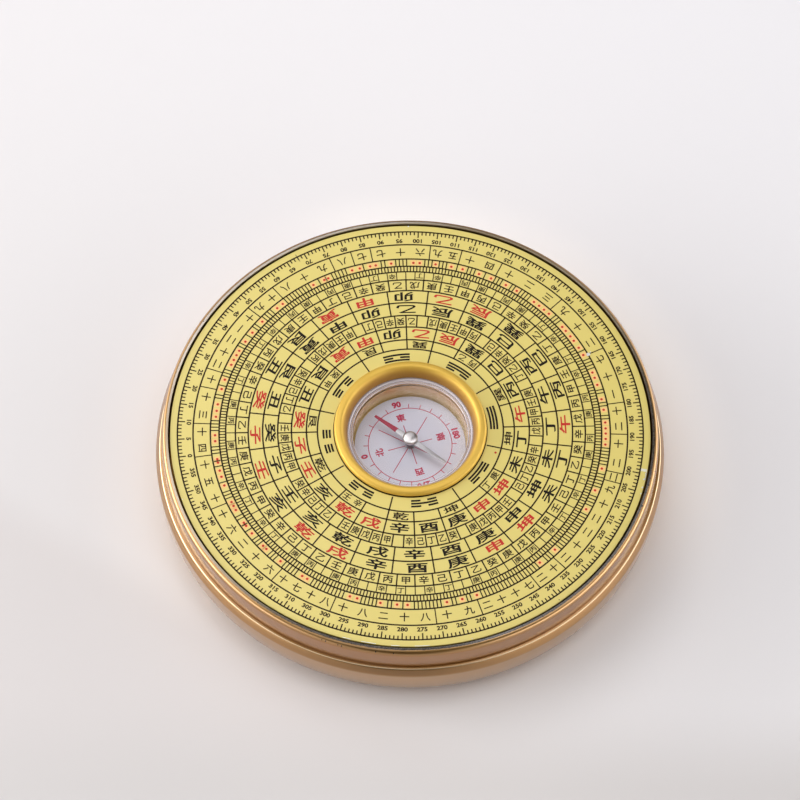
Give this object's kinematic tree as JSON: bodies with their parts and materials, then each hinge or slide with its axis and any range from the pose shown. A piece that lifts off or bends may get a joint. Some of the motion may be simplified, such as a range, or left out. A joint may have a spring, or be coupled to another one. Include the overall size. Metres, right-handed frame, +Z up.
{
  "type": "feng shui compass",
  "caption": "Round luopan: a printed dial turns inside a low metal case, with a magnetic compass capsule and needle in its middle.",
  "frame": {"origin": "centre of the foot, on the surface that the compass stands on", "axes": "+Z up through the centre of the dial and the needle's pin; +X to the right and +Y away in the picture"},
  "size_m": [0.1062, 0.1062, 0.0183],
  "materials": {
    "case_metal": "satin champagne gold",
    "screw_steel": "plain",
    "bush_brass": "turned",
    "washer_plastic": "smooth",
    "turntable_plastic": "moulded black",
    "dial_print": "printed and lacquered",
    "bezel_gold": "polished",
    "capsule_plastic": "clear moulded",
    "lens_clear": "clear polished",
    "card_white": "printed",
    "needle_steel": "fine satin, one half painted red",
    "cap_nickel": "polished nickel",
    "jewel": "polished"
  },
  "bodies": {
    "case": {"case_base": "case_metal", "case_rim": "case_metal", "rim_screw_1": "screw_steel", "rim_screw_2": "screw_steel", "rim_screw_3": "screw_steel", "rim_screw_4": "screw_steel", "hub_bush": "bush_brass", "glide_washer": "washer_plastic"},
    "dial": {"turntable": "turntable_plastic", "dial_plate": "dial_print", "bezel_ring": "bezel_gold", "capsule_cup": "capsule_plastic", "capsule_lens": "lens_clear", "compass_card": "card_white", "pivot_pin": "screw_steel", "retaining_washer": "bush_brass", "hub_screw": "screw_steel"},
    "needle": {"needle": "needle_steel", "needle_cap": "cap_nickel", "needle_jewel": "jewel"}
  },
  "joints": [
    {"name": "dial_turn", "type": "hinge", "parent": "case", "child": "dial", "pos_m": [0, 0, 0.005], "axis": [0, 0, 1], "continuous": true},
    {"name": "needle_swing", "type": "hinge", "parent": "dial", "child": "needle", "pos_m": [0, 0, 0.013], "axis": [0, 0, 1], "continuous": true}
  ]
}
